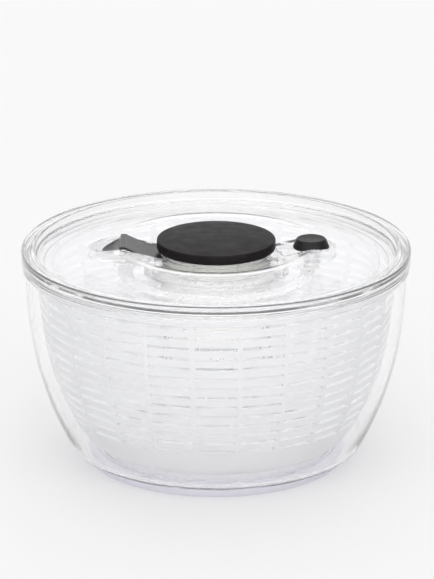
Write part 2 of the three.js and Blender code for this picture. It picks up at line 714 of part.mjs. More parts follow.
addMesh('lid_shell', lidShell(), CLEAR);
addMesh('rotor_carrier', rotorCarrier(), CLEAR);
CARRIER_SCREWS_DEG.forEach((angle, i) => {
  const [x, y] = onCircle(CARRIER_SCREW_RADIUS, angle);
  addMesh(`carrier_screw_${i + 1}`, panScrew(1.5, 134.4, 136.3, 143.4, x, y), STEEL);
});
addMesh('lock_lever', lockLever(), SMOKE);
addMesh('lock_retainer', lockRetainer(), WHITE);
addMesh('lock_screw', panScrew(1.4, 136.2, 138.1, 149, LEVER_STEM_X, 0), STEEL);
addMesh('brake_button', brakeButton(), RUBBER);
addMesh('brake_stem', brakeStem(), FROSTED);
addMesh('brake_spring', coilSpring(6, 0.5, 143.3, 148, 3, BRAKE_X), STEEL);
addMesh('brake_pad', pin(5.5, BRAKE_PAD_BOTTOM, 134.4, BRAKE_X), WHITE);

addMesh('knob_cap', knobCap(), SOFT_BLACK);
addMesh('knob_core', knobCore(), WHITE);
addMesh('plunger_body', plungerBody(), IVORY);
addMesh('drive_nut', driveNut(), WHITE);
addMesh('return_spring', coilSpring(SPRING_RADIUS, 0.7, SPRING_BOTTOM, SPRING_TOP, SPRING_TURNS), STEEL);
addMesh('helix_rod', helixRod(), STEEL);
addMesh('clutch_rotor', clutchRotor(), WHITE);
for (let number = 0; number < PAWL_COUNT; number += 1) {
  addMesh(`pawl_${number + 1}`, pawl(number), WHITE);
}

addMesh('drive_cup', driveCup(), FROSTED);
addMesh('cup_bottom_cap', cupBottomCap(), FROSTED);
addMesh('ratchet_ring', ratchetRing(), WHITE);
addMesh('clutch_cover', ring(6, CUP_INNER - 0.8, 81.4, 83.2, ROUND_HIDDEN), WHITE);
addMesh('spring_washer', ring(9.8, 14, 83.6, 84.6, ROUND_SMALL), STEEL);
addMesh('turntable', turntable(), CLEAR);
addMesh('turntable_clip', ring(CUP_OUTER + GAP, 42, 124.6, 127), CLEAR);

export default group;
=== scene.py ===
"""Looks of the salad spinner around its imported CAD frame. Outlines are in millimetres, [radius, height]."""
import math

import bmesh
import bpy
from mathutils import Matrix, Vector


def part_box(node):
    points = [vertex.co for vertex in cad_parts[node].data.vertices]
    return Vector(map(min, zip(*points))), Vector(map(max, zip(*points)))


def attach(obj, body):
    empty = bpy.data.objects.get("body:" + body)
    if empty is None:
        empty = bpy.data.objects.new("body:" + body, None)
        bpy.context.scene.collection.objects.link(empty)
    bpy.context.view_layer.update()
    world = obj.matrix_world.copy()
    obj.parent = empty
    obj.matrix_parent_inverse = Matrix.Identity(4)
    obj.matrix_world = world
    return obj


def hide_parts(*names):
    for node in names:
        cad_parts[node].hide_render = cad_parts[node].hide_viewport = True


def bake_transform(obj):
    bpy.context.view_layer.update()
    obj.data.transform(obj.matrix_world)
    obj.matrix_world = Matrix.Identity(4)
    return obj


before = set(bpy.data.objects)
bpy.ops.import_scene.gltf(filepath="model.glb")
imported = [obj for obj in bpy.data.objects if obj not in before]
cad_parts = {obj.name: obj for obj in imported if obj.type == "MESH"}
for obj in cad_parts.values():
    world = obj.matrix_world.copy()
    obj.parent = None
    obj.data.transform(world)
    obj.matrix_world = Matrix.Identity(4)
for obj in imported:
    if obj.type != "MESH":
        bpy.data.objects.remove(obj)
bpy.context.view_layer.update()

MM = 0.001
ROUND = 160              # facets round a large turned piece
SMALL = 48               # facets round a small one
END_STEPS = 40           # facets round the end of a bar or a pocket
FILLET_STEPS = 5
FLAT_EDGE = 0.06         # a narrow strip beside each fillet keeps the flat face shading flat
SHARP_ANGLE = math.radians(32)

# ------------------------------------------------------------------ driving dimensions, the first ones read from the frame, the rest given


def span(node):
    """A CAD node's radius and lowest and highest height, in millimetres."""
    low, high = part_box(node)
    return (high[0] - low[0]) / 2 / MM, low[2] / MM, high[2] / MM


BOWL_RIM, BOWL_LOW, BOWL_TOP = span("bowl_shell")
FOOT_RADIUS, _, FOOT_TOP = span("foot_ring")
BASKET_RIM, BASKET_LOW, BASKET_TOP = span("basket")
LID_RADIUS, _, _ = span("lid_shell")
KNOB_RADIUS, KNOB_LOW, KNOB_TOP = span("knob_cap")
PLUNGER_RADIUS, _, PLUNGER_TOP = span("plunger_body")
CUP_FLANGE, CUP_LOW, CUP_TOP = span("drive_cup")
TABLE_RADIUS, _, TABLE_TOP = span("turntable")

BOWL_WALL = 2.8
BOWL_WALL_TOP = BOWL_RIM - 2.1      # wall radius under the rim flange
BOWL_UNDERSIDE = BOWL_LOW + 4.8
BASKET_WALL = 2.2
BASKET_WALL_TOP = 121.5
RIB_COUNT = 24
RIB_DEGREES = 1.6
SLOT_ROWS = 14
SLOT_PITCH = 7.08
SLOT_HEIGHT = 2.4
TOP_SLOT = 130.8
LID_TOP = 149.9
SKIRT_BOTTOM = 141.0
GROOVE_TOP = 143.8
DISH_RADIUS = 67.2
COLLAR_INNER = 35.5
COLLAR_OUTER = 37.7
PLATE = 2.5
POCKET_FLOOR = 143.0
POCKET_UNDER = 141.0
POCKET_WALL = 1.6
LEVER_HALF_WIDTH = 15.0
LEVER_POCKET_HALF = 15.5
LEVER_POCKET_END = -86.0
LEVER_END = -78.2
LEVER_STEM_X = -57.0
LEVER_STEM_TOP = 146.4
LOCK_TRAVEL = 7.0
BRAKE_X = 65.0
BRAKE_POCKET_RADIUS = 15.4
KEY_ANGLES = (64.6, 115.4, 244.6, 295.4)
SCREW_ANGLES = (90, 210, 330)
SCREW_CIRCLE = 51.0
HELIX_LEAD = 30.0


# ------------------------------------------------------------------ mesh helpers


def fillet(outline, closed):
    """The outline with each corner that has a third number rounded by about that radius."""
    points = []
    count = len(outline)
    for i, corner in enumerate(outline):
        here = Vector(corner[:2])
        radius = corner[2] if len(corner) > 2 else 0
        at_end = not closed and i in (0, count - 1)
        if radius <= 0 or at_end:
            points.append(here)
            continue
        before = Vector(outline[i - 1][:2]) - here
        after = Vector(outline[(i + 1) % count][:2]) - here
        start = here + before.normalized() * min(radius, before.length * 0.45)
        end = here + after.normalized() * min(radius, after.length * 0.45)
        points.append(start + before.normalized() * min(FLAT_EDGE, before.length * 0.02))
        for step in range(FILLET_STEPS + 1):
            t = step / FILLET_STEPS
            points.append(start.lerp(here, t).lerp(here.lerp(end, t), t))
        points.append(end + after.normalized() * min(FLAT_EDGE, after.length * 0.02))
    return points


def bezier(p0, p1, p2, p3, steps):
    """Points along one cubic curve."""
    result = []
    for step in range(steps + 1):
        t = step / steps
        s = 1 - t
        point = [s ** 3 * a + 3 * s * s * t * b + 3 * s * t * t * c + t ** 3 * d
                 for a, b, c, d in zip(p0, p1, p2, p3)]
        result.append(tuple(point))
    return result


def finish_mesh(name, bm, sharp=SHARP_ANGLE):
    bmesh.ops.remove_doubles(bm, verts=bm.verts, dist=1e-7)
    bmesh.ops.recalc_face_normals(bm, faces=bm.faces)
    mesh = bpy.data.meshes.new(name)
    bm.to_mesh(mesh)
    bm.free()
    mesh.shade_smooth()
    mesh.set_sharp_from_angle(angle=sharp)
    obj = bpy.data.objects.new(name, mesh)
    bpy.context.scene.collection.objects.link(obj)
    return obj


def turned(name, outline, facets=ROUND, x=0.0, y=0.0, sharp=SHARP_ANGLE):
    """A closed solid turned about a vertical axis at x, y."""
    closed = not (outline[0][0] == 0 and outline[-1][0] == 0)
    points = fillet(outline, closed)
    bm = bmesh.new()
    rings = []
    for r, z in points:
        if r < 1e-6:
            rings.append([bm.verts.new((x * MM, y * MM, z * MM))])
            continue
        row = []
        for k in range(facets):
            angle = 2 * math.pi * k / facets
            row.append(bm.verts.new(((x + r * math.cos(angle)) * MM, (y + r * math.sin(angle)) * MM, z * MM)))
        rings.append(row)
    pairs = list(zip(rings, rings[1:]))
    if closed:
        pairs.append((rings[-1], rings[0]))
    for low, high in pairs:
        for k in range(facets):
            n = (k + 1) % facets
            corners = [low[k % len(low)], low[n % len(low)], high[n % len(high)], high[k % len(high)]]
            unique = list(dict.fromkeys(corners))
            if len(unique) > 2:
                bm.faces.new(unique)
    return finish_mesh(name, bm, sharp)


def prism(name, plan, low, high):
    """A straight prism over a plan outline."""
    bm = bmesh.new()
    bottom = [bm.verts.new((x * MM, y * MM, low * MM)) for x, y in plan]
    top = [bm.verts.new((x * MM, y * MM, high * MM)) for x, y in plan]
    bm.faces.new(bottom[::-1])
    bm.faces.new(top)
    for i in range(len(plan)):
        j = (i + 1) % len(plan)
        bm.faces.new((bottom[i], bottom[j], top[j], top[i]))
    return finish_mesh(name, bm)


def box_plan(x0, x1, y0, y1, degrees=0.0):
    turn = Matrix.Rotation(math.radians(degrees), 2)
    corners = ((x0, y0), (x1, y0), (x1, y1), (x0, y1))
    return [tuple(turn @ Vector(corner)) for corner in corners]


def bar_plan(half_width, end_x):
    """A straight bar from the axis to a round end at end_x."""
    side = math.copysign(1, end_x)
    centre = end_x - side * half_width
    plan = [(0.0, -half_width)]
    for step in range(END_STEPS + 1):
        angle = math.pi * (step / END_STEPS - 0.5)
        plan.append((centre + side * half_width * math.cos(angle), half_width * math.sin(angle)))
    plan.append((0.0, half_width))
    return plan if side > 0 else plan[::-1]


def circle_plan(radius, x=0.0, y=0.0, steps=SMALL):
    angles = [2 * math.pi * k / steps for k in range(steps)]
    return [(x + radius * math.cos(a), y + radius * math.sin(a)) for a in angles]


def combine(obj, tool, operation):
    """Joins, cuts or intersects obj by tool, and deletes tool."""
    modifier = obj.modifiers.new(operation, "BOOLEAN")
    modifier.operation = operation
    modifier.solver = "EXACT"
    modifier.object = tool
    bpy.context.view_layer.update()
    evaluated = obj.evaluated_get(bpy.context.evaluated_depsgraph_get())
    mesh = bpy.data.meshes.new_from_object(evaluated)
    obj.modifiers.clear()
    old = obj.data
    obj.data = mesh
    bpy.data.meshes.remove(old)
    bpy.data.objects.remove(tool)
    mesh.shade_smooth()
    mesh.set_sharp_from_angle(angle=SHARP_ANGLE)
    return obj


def soften(obj, width, angle=40):
    """Rounds the edges that are still sharp."""
    bevel = obj.modifiers.new("soft_edges", "BEVEL")
    bevel.width = width * MM
    bevel.segments = 2
    bevel.limit_method = "ANGLE"
    bevel.angle_limit = math.radians(angle)
    bevel.harden_normals = True
    return obj


def on_circle(radius, degrees):
    return radius * math.cos(math.radians(degrees)), radius * math.sin(math.radians(degrees))


# ------------------------------------------------------------------ materials


def map_range(nodes, links, source, given, wanted):
    """The source's given range mapped to the wanted one, held at its ends."""
    node = nodes.new("ShaderNodeMapRange")
    node.inputs["From Min"].default_value, node.inputs["From Max"].default_value = given
    node.inputs["To Min"].default_value, node.inputs["To Max"].default_value = wanted
    links.new(source, node.inputs["Value"])
    return node.outputs["Result"]


class Finish:
    """One procedural material around a Principled shader."""

    def __init__(self, name, color, roughness, **sockets):
        self.material = bpy.data.materials.new(name)
        self.material.use_nodes = True
        self.nodes = self.material.node_tree.nodes
        self.links = self.material.node_tree.links
        self.shader = self.nodes["Principled BSDF"]
        self.shader.inputs["Base Color"].default_value = (*color, 1)
        self.shader.inputs["Roughness"].default_value = roughness
        for socket, value in sockets.items():
            self.shader.inputs[socket.replace("_", " ")].default_value = value
        self.place = self.nodes.new("ShaderNodeTexCoord").outputs["Object"]

    def noise(self, scale, detail=3.0):
        node = self.nodes.new("ShaderNodeTexNoise")
        node.inputs["Scale"].default_value = scale
        node.inputs["Detail"].default_value = detail
        self.links.new(self.place, node.inputs["Vector"])
        return node.outputs["Fac"]

    def vary_roughness(self, low, high, scale):
        spread = map_range(self.nodes, self.links, self.noise(scale), (0.3, 0.7), (low, high))
        self.links.new(spread, self.shader.inputs["Roughness"])
        return self

    def vary_color(self, first, second, scale):
        ramp = self.nodes.new("ShaderNodeValToRGB")
        ramp.color_ramp.elements[0].position = 0.35
        ramp.color_ramp.elements[1].position = 0.65
        ramp.color_ramp.elements[0].color = (*first, 1)
        ramp.color_ramp.elements[1].color = (*second, 1)
        self.links.new(self.noise(scale), ramp.inputs["Fac"])
        self.links.new(ramp.outputs["Color"], self.shader.inputs["Base Color"])
        return self

    def lit_through(self, color):
        """Lets light rays that look for a lamp pass straight through, tinted, so that the inside is lit."""
        path = self.nodes.new("ShaderNodeLightPath")
        through = self.nodes.new("ShaderNodeBsdfTransparent")
        through.inputs["Color"].default_value = (*color, 1)
        mix = self.nodes.new("ShaderNodeMixShader")
        self.links.new(path.outputs["Is Shadow Ray"], mix.inputs[0])
        self.links.new(self.shader.outputs[0], mix.inputs[1])
        self.links.new(through.outputs[0], mix.inputs[2])
        self.links.new(mix.outputs[0], self.nodes["Material Output"].inputs["Surface"])
        return self

    def grain(self, scale, strength, depth=0.0001):
        bump = self.nodes.new("ShaderNodeBump")
        bump.inputs["Strength"].default_value = strength
        bump.inputs["Distance"].default_value = depth
        self.links.new(self.noise(scale, 4.0), bump.inputs["Height"])
        self.links.new(bump.outputs["Normal"], self.shader.inputs["Normal"])
        return self


def clear_plastic():
    finish = Finish("clear_plastic", (0.99, 0.99, 0.995), 0.02, Transmission_Weight=0.97, IOR=1.46)
    finish.lit_through((0.997, 0.997, 0.998))
    return finish.vary_roughness(0.01, 0.035, 60).grain(26, 0.05, 0.0002).material


def basket_plastic():
    finish = Finish("basket_plastic", (0.88, 0.88, 0.888), 0.35, Transmission_Weight=0.48, IOR=1.35)
    finish.lit_through((0.94, 0.94, 0.945))
    return finish.vary_roughness(0.28, 0.42, 90).grain(700, 0.12, 0.00004).material


def frosted_plastic():
    finish = Finish("frosted_plastic", (0.98, 0.98, 0.983), 0.3, Transmission_Weight=0.7, IOR=1.35)
    finish.lit_through((0.97, 0.97, 0.975))
    return finish.vary_roughness(0.22, 0.4, 120).grain(900, 0.15, 0.00003).material


def foot_elastomer():
    finish = Finish("foot_elastomer", (0.8, 0.79, 0.84), 0.35, Transmission_Weight=0.6, IOR=1.4)
    finish.lit_through((0.96, 0.96, 0.965))
    return finish.vary_roughness(0.3, 0.45, 150).grain(1200, 0.2, 0.00003).material


def ivory_plastic():
    finish = Finish("ivory_plastic", (0.97, 0.965, 0.89), 0.25)
    return finish.vary_roughness(0.2, 0.3, 80).grain(800, 0.08, 0.00003).material


def white_acetal():
    finish = Finish("white_acetal", (0.9, 0.9, 0.885), 0.4)
    return finish.vary_roughness(0.35, 0.5, 100).grain(900, 0.15, 0.00003).material


def soft_touch_black():
    finish = Finish("soft_touch_black", (0.011, 0.0085, 0.0095), 0.55, Specular_IOR_Level=0.18)
    finish.vary_color((0.0095, 0.007, 0.008), (0.0125, 0.010, 0.011), 45)
    return finish.vary_roughness(0.48, 0.6, 120).grain(2600, 0.35, 0.00003).material


def smoke_plastic():
    finish = Finish("smoke_plastic", (0.03, 0.0285, 0.03), 0.2, Specular_IOR_Level=0.3)
    finish.vary_color((0.026, 0.0245, 0.026), (0.036, 0.0345, 0.036), 70)
    return finish.vary_roughness(0.16, 0.28, 160).grain(900, 0.08, 0.00003).material


def black_rubber():
    finish = Finish("black_rubber", (0.011, 0.0105, 0.011), 0.5, Specular_IOR_Level=0.35)
    return finish.vary_roughness(0.42, 0.58, 200).grain(2400, 0.3, 0.00003).material


def spring_steel():
    finish = Finish("spring_steel", (0.66, 0.67, 0.69), 0.25, Metallic=1.0)
    return finish.vary_roughness(0.18, 0.34, 300).grain(1500, 0.1, 0.00002).material


def floor_surface():
    return Finish("floor_surface", (0.93, 0.93, 0.93), 0.9, Specular_IOR_Level=0.0).material


CLEAR = clear_plastic()
BASKET = basket_plastic()
FROSTED = frosted_plastic()
FOOT = foot_elastomer()
IVORY = ivory_plastic()
ACETAL = white_acetal()
SOFT_BLACK = soft_touch_black()
SMOKE = smoke_plastic()
RUBBER = black_rubber()
STEEL = spring_steel()


def dress(obj, material, body, slot, *nodes):
    """Gives a piece its material and its body, and hides the CAD nodes that it stands for. The slot is not
    used.
    """
    obj.data.materials.clear()
    obj.data.materials.append(material)
    if nodes:
        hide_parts(*nodes)
    if body:
        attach(obj, body)
    return obj


# ------------------------------------------------------------------ bowl, foot and basket


def make_bowl():
    inside = BOWL_WALL_TOP - BOWL_WALL
    floor = BOWL_UNDERSIDE + BOWL_WALL
    outer = bezier((101, 10.2), (120.3, 45), (BOWL_WALL_TOP, 85), (BOWL_WALL_TOP, 135), 40)
    inner = bezier((inside, 135), (inside, 86), (117.6, 46.4), (98.4, 13), 40)
    return turned("bowl_clear", [
        (0, BOWL_UNDERSIDE),
        (81.5, BOWL_UNDERSIDE, 0.4),
        (81.5, 3, 0.4),
        (84.5, 3, 0.4),
        (84.5, BOWL_UNDERSIDE, 0.4),
        (94, BOWL_UNDERSIDE, 1),
        (98.2, 8.2, 3),
        *outer,
        (BOWL_RIM, 135.7, 0.8),
        (BOWL_RIM, BOWL_TOP, 1.2),
        (inside, BOWL_TOP, 1.0),
        *inner,
        (95.4, floor + 0.3, 3),
        (90, floor, 2),
        (4.5, floor, 0.2),
        (4.5, 17.5, 0.8),
        (0, 17.5),
    ], sharp=math.radians(60))


def make_foot():
    return turned("foot_ring_soft", [
        (78, 0, 0.8),
        (FOOT_RADIUS, 0, 1.6),
        (FOOT_RADIUS, FOOT_TOP, 1.2),
        (84.9, FOOT_TOP, 0.4),
        (84.9, 2.6, 0.3),
        (81.1, 2.6, 0.3),
        (81.1, FOOT_TOP, 0.4),
        (78, FOOT_TOP, 0.8),
    ])


def basket_levels():
    """Matching (outside, inside, slot starts here) points from the hub out to the rim."""
    top_in = BASKET_WALL_TOP - BASKET_WALL
    outside = bezier((90, 17), (111.2, 43), (BASKET_WALL_TOP, 85), (BASKET_WALL_TOP, 133), 400)
    inside = bezier((87.6, 19), (109, 44.4), (top_in, 86), (top_in, 133), 400)

    def radius_at(line, z):
        return min(line, key=lambda point: abs(point[1] - z))[0]

    def wall(z, slot=False):
        return (radius_at(outside, z), z), (radius_at(inside, z), z), slot

    floor = BASKET_LOW + 2.4
    levels = [((6.4, 21.1), (7.6, 23.4), False), ((6.4, BASKET_LOW), (9.2, floor), False)]
    for near, far in ((38, 50), (54, 66)):
        levels.append(((near, BASKET_LOW), (near, floor), True))
        levels.append(((far, BASKET_LOW), (far, floor), False))
    levels.append(((81, BASKET_LOW), (80, floor), False))
    levels.append(((84.5, BASKET_LOW + 0.3), (83, floor + 0.3), False))
    levels.append(((88, BASKET_LOW + 1.3), (86, floor + 1.0), False))
    for z in (20, 23, 26, 29, 32, 35):
        levels.append(wall(z))
    for row in range(SLOT_ROWS - 1, -1, -1):
        middle = TOP_SLOT - row * SLOT_PITCH
        levels.append(wall(middle - SLOT_HEIGHT / 2, True))
        levels.append(wall(middle + SLOT_HEIGHT / 2))
    levels.append(((BASKET_RIM, 133.6), (top_in, 133.6), False))
    levels.append(((BASKET_RIM, BASKET_TOP), (top_in, BASKET_TOP), False))
    return levels


def make_basket():
    """A shell of rings and ribs. Ribs stand a little proud, and slots are open between them."""
    levels = basket_levels()
    window_steps = 6
    proud = 0.5
    angles = []
    for rib in range(RIB_COUNT):
        middle = -90 + (rib + 0.5) * 360 / RIB_COUNT
        window = 360 / RIB_COUNT - RIB_DEGREES
        angles.append((middle - RIB_DEGREES / 2, True))
        angles.append((middle + RIB_DEGREES / 2, False))
        for step in range(1, window_steps):
            angles.append((middle + RIB_DEGREES / 2 + window * step / window_steps, False))
    columns = len(angles)
    on_rib = [False] * columns
    for i, (_, starts_rib) in enumerate(angles):
        if starts_rib:
            on_rib[i] = True
            on_rib[(i + 1) % columns] = True
    bm = bmesh.new()
    rings = ([], [])
    for outside, inside, _ in levels:
        for side, (r, z) in enumerate((outside, inside)):
            row = []
            for i, (degrees, _) in enumerate(angles):
                lift = proud if side == 0 and on_rib[i] and 31 < z < 133 else 0
                x, y = on_circle(r + lift, degrees)
                row.append(bm.verts.new((x * MM, y * MM, z * MM)))
            rings[side].append(row)
    hubs = [bm.verts.new((0, 0, levels[0][side][1] * MM)) for side in (0, 1)]
    last = len(levels) - 1
    outer, inner = rings
    for i in range(columns):
        j = (i + 1) % columns
        bm.faces.new((hubs[0], outer[0][j], outer[0][i]))
        bm.faces.new((hubs[1], inner[0][i], inner[0][j]))
        bm.faces.new((outer[last][i], outer[last][j], inner[last][j], inner[last][i]))
        for k in range(last):
            is_slot = levels[k][2] and not angles[i][1]
            if not is_slot:
                bm.faces.new((outer[k][i], outer[k][j], outer[k + 1][j], outer[k + 1][i]))
                bm.faces.new((inner[k][i], inner[k + 1][i], inner[k + 1][j], inner[k][j]))
                continue
            bm.faces.new((outer[k][i], outer[k][j], inner[k][j], inner[k][i]))
            bm.faces.new((outer[k + 1][j], outer[k + 1][i], inner[k + 1][i], inner[k + 1][j]))
            if angles[i - 1][1]:
                bm.faces.new((outer[k + 1][i], outer[k][i], inner[k][i], inner[k + 1][i]))
            if angles[j][1]:
                bm.faces.new((outer[k][j], outer[k + 1][j], inner[k + 1][j], inner[k][j]))
    return finish_mesh("basket_slotted", bm)


def make_standing_parts():
    dress(make_bowl(), CLEAR, "bowl", "clear_plastic", "bowl_shell")
    dress(make_foot(), FOOT, "bowl", "foot_elastomer", "foot_ring")
    cap = turned("pivot_cap_turned", [
        (0, 17.9), (4.9, 17.9, 0.3), (4.9, 11.1, 0.2), (9, 11.1, 0.4), (9, 13, 0.6), (6, 13, 0.6),
        (6, 20.7, 1.2), (0, 20.7),
    ], SMALL)
    dress(cap, ACETAL, "pivot", "white_acetal", "pivot_cap")
    dress(make_basket(), BASKET, "basket", "basket_plastic", "basket")


# ------------------------------------------------------------------ lid

# Top of the lid plate from the collar, up to the dish's edge, down to the valley inside the rim.
PLATE_TOP = [
    (COLLAR_OUTER, 145.0, 1), (42, 145.5, 2), (DISH_RADIUS, 151.9, 4), (80, 150.1, 6), (95, 147.3, 6),
    (112, 144.5, 5), (121, 143.9, 2),
]


def make_lid_body():
    under = [(r, z - PLATE, *rest) for r, z, *rest in PLATE_TOP]
    rim = 124.1
    return turned("lid_clear", [
        (COLLAR_INNER, 135, 0.4),
        (COLLAR_OUTER, 135, 0.4),
        *under,
        (124.5, 141.4, 0.4),
        (124.5, 134.5, 0.4),
        (127, 134.5, 0.6),
        (127, GROOVE_TOP, 0.8),
        (LID_RADIUS - 2.6, GROOVE_TOP, 0.8),
        (LID_RADIUS - 2.6, SKIRT_BOTTOM, 0.4),
        (LID_RADIUS, SKIRT_BOTTOM, 0.5),
        (LID_RADIUS, LID_TOP, 1.9),
        (rim, LID_TOP, 1.6),
        (rim - 0.8, 144.4, 1.2),
        *PLATE_TOP[::-1],
        (COLLAR_OUTER, 146.6, 0.4),
        (COLLAR_INNER, 146.6, 0.4),
    ], sharp=math.radians(50))


def plate_height(radius):
    """Height of the plate's top at a radius, between the outline's corners."""
    for (r0, z0, *_), (r1, z1, *_) in zip(PLATE_TOP, PLATE_TOP[1:]):
        if r0 <= radius <= r1:
            return z0 + (z1 - z0) * (radius - r0) / (r1 - r0)
    return PLATE_TOP[0][1]


def pocket_solid(name, half, end, inner, low, top_height):
    """A solid from an arc about the collar out to a round end. top_height gives its top at a radius."""
    side = math.copysign(1, end)
    centre = abs(end) - half
    reach = math.asin(half / inner)
    plan = []
    for k in range(17):
        angle = reach * (1 - k / 8)
        plan.append((inner * math.cos(angle), inner * math.sin(angle)))
    for k in range(END_STEPS + 1):
        angle = math.pi * (k / END_STEPS - 0.5)
        plan.append((centre + half * math.cos(angle), half * math.sin(angle)))
    middle = (inner + abs(end)) / 2
    bm = bmesh.new()
    rings = []
    hubs = []
    for is_top in (False, True):
        ring = []
        for x, y in plan:
            z = top_height(math.hypot(x, y)) if is_top else low
            ring.append(bm.verts.new((side * x * MM, y * MM, z * MM)))
        rings.append(ring)
        hub_z = top_height(middle) if is_top else low
        hubs.append(bm.verts.new((side * middle * MM, 0, hub_z * MM)))
    for i in range(len(plan)):
        j = (i + 1) % len(plan)
        bm.faces.new((rings[0][i], rings[0][j], rings[1][j], rings[1][i]))
        bm.faces.new((rings[0][j], rings[0][i], hubs[0]))
        bm.faces.new((rings[1][i], rings[1][j], hubs[1]))
    return finish_mesh(name, bm)


def make_lid():
    lid = make_lid_body()
    sides = ((LEVER_POCKET_HALF, LEVER_POCKET_END), (BRAKE_POCKET_RADIUS, BRAKE_X + BRAKE_POCKET_RADIUS))
    in_plate = lambda radius: plate_height(radius) - PLATE / 2
    for half, end in sides:
        outer_end = end + math.copysign(POCKET_WALL, end)
        tub = pocket_solid("tub", half + POCKET_WALL, outer_end, COLLAR_OUTER - 0.8, POCKET_UNDER, in_plate)
        combine(lid, tub, "UNION")
    for half, end in sides:
        hollow = pocket_solid("hollow", half, end, COLLAR_OUTER + 0.3, POCKET_FLOOR, lambda radius: 160)
        combine(lid, hollow, "DIFFERENCE")
    for degrees in SCREW_ANGLES:
        x, y = on_circle(SCREW_CIRCLE, degrees)
        combine(lid, prism("boss", circle_plan(4.2, x, y), 139.8, 146), "UNION")
        combine(lid, prism("screw_hole", circle_plan(1.9, x, y), 139, 144), "DIFFERENCE")
    for degrees in KEY_ANGLES:
        key = prism("key", box_plan(COLLAR_INNER - 0.9, COLLAR_INNER + 1, -0.8, 0.8, degrees), 135.2, 145.6)
        combine(lid, key, "UNION")
    slot = box_plan(LEVER_STEM_X - 5.6 - LOCK_TRAVEL, LEVER_STEM_X + 5.6, -4.6, 4.6)
    combine(lid, prism("lever_slot", slot, POCKET_UNDER - 1, POCKET_FLOOR + 1), "DIFFERENCE")
    window = box_plan(-COLLAR_OUTER - 2, -COLLAR_INNER + 3, -5.7, 5.7)
    combine(lid, prism("window", window, POCKET_FLOOR, POCKET_FLOOR + 2.4), "DIFFERENCE")
    stem_hole = prism("stem_hole", circle_plan(4.9, BRAKE_X), POCKET_UNDER - 1, POCKET_FLOOR + 1)
    combine(lid, stem_hole, "DIFFERENCE")
    return lid


def make_carrier():
    carrier = turned("rotor_carrier_clear", [
        (38.8, 130.4, 0.3), (47.5, 130.4, 0.8), (47.5, 139.4, 0.5), (45, 139.4, 0.5), (45, 132.1, 0.5),
        (38.8, 132.1, 0.3),
    ])
    for degrees in SCREW_ANGLES:
        x, y = on_circle(SCREW_CIRCLE, degrees)
        combine(carrier, prism("lug", circle_plan(4.8, x, y), 136.6, 139.4), "UNION")
        combine(carrier, prism("lug_hole", circle_plan(1.9, x, y), 136, 140), "DIFFERENCE")
    return carrier


def make_screw(name, shank, head_low, head_high, tip, x, y):
    screw = turned(name, [
        (0, head_low), (shank * 2, head_low, 0.7), (shank * 2, head_high, 0.15), (shank, head_high, 0.1),
        (shank, tip - 1.2), (0.3, tip), (0, tip),
    ], SMALL, x, y)
    for degrees in (0, 90):
        arm = [(x + u, y + v) for u, v in box_plan(-1.9, 1.9, -0.35, 0.35, degrees)]
        combine(screw, prism("recess", arm, head_low - 1, head_low + 0.9), "DIFFERENCE")
    return screw


def make_lid_parts():
    dress(make_lid(), CLEAR, "lid", "clear_plastic", "lid_shell")
    dress(make_carrier(), CLEAR, "lid", "clear_plastic", "rotor_carrier")
    for number, degrees in enumerate(SCREW_ANGLES, 1):
        x, y = on_circle(SCREW_CIRCLE, degrees)
        node = f"carrier_screw_{number}"
        screw = make_screw(f"{node}_turned", 1.5, 134.4, 136.3, 143.4, x, y)
        dress(screw, STEEL, "lid", "spring_steel", node)


# ------------------------------------------------------------------ lock lever and brake


# The lever from the side, [x, height]: its top from the collar out to the tail, then its underside.
LEVER_SIDE = [
    (-34, 145.0), (-42, 145.2, 3), (-49, 147.1, 4), (-55, 149.7, 4), (-61.3, 152.7, 0.4), (-61.6, 153.2, 0.3),
    (-65.6, 153.2, 0.7), (-66.2, 150.6, 0.8), (-70, 149, 3), (-74, 147.9, 3), (-79, 147.3), (-79, 145.8),
    (-74, 146.4, 3), (-70, 147.5, 3), (-66.6, 149, 0.8), (-64.6, 151.4, 0.8), (-62.4, 151.4, 0.8),
    (-55, 148.2, 4),
    (-49, 145.6, 4), (-42, 143.7, 3), (-39, 143.4, 2), (-34, 143.4),
]


def make_lever():
    """A thin strap that rises to a thumb ridge, with a scooped tail behind it."""
    base = POCKET_FLOOR + 0.4
    outline = fillet(LEVER_SIDE, True)
    across = 20
    bm = bmesh.new()
    rows = []
    for k in range(across + 1):
        y = LEVER_HALF_WIDTH * (2 * k / across - 1)
        middle = 1 - (y / LEVER_HALF_WIDTH) ** 2
        row = []
        for x, z in outline:
            sag = 1.3 * middle * min(1, max(0, (-66.4 - x) / 5))
            row.append(bm.verts.new((x * MM, y * MM, (z - sag) * MM)))
        rows.append(row)
    for near, far in zip(rows, rows[1:]):
        for i in range(len(outline)):
            j = (i + 1) % len(outline)
            bm.faces.new((near[i], near[j], far[j], far[i]))
    bm.faces.new(rows[0])
    bm.faces.new(rows[-1][::-1])
    lever = finish_mesh("lock_lever_moulded", bm)
    plan = prism("plan", bar_plan(LEVER_HALF_WIDTH - 0.01, LEVER_END), base - 2, 158)
    combine(lever, plan, "INTERSECT")
    round_collar = prism("round_collar", circle_plan(COLLAR_OUTER + 0.7, steps=ROUND), base - 3, 160)
    combine(lever, round_collar, "DIFFERENCE")
    tongue = prism("tongue", box_plan(-39.5, -PLUNGER_RADIUS - 0.5, -5.2, 5.2), base, base + 1.6)
    combine(lever, tongue, "UNION")
    combine(lever, prism("boss", circle_plan(3.4, LEVER_STEM_X), LEVER_STEM_TOP + 0.4, 149.4), "UNION")
    combine(lever, prism("screw_hole", circle_plan(1.8, LEVER_STEM_X), 144, 149.2), "DIFFERENCE")
    return soften(lever, 0.3)


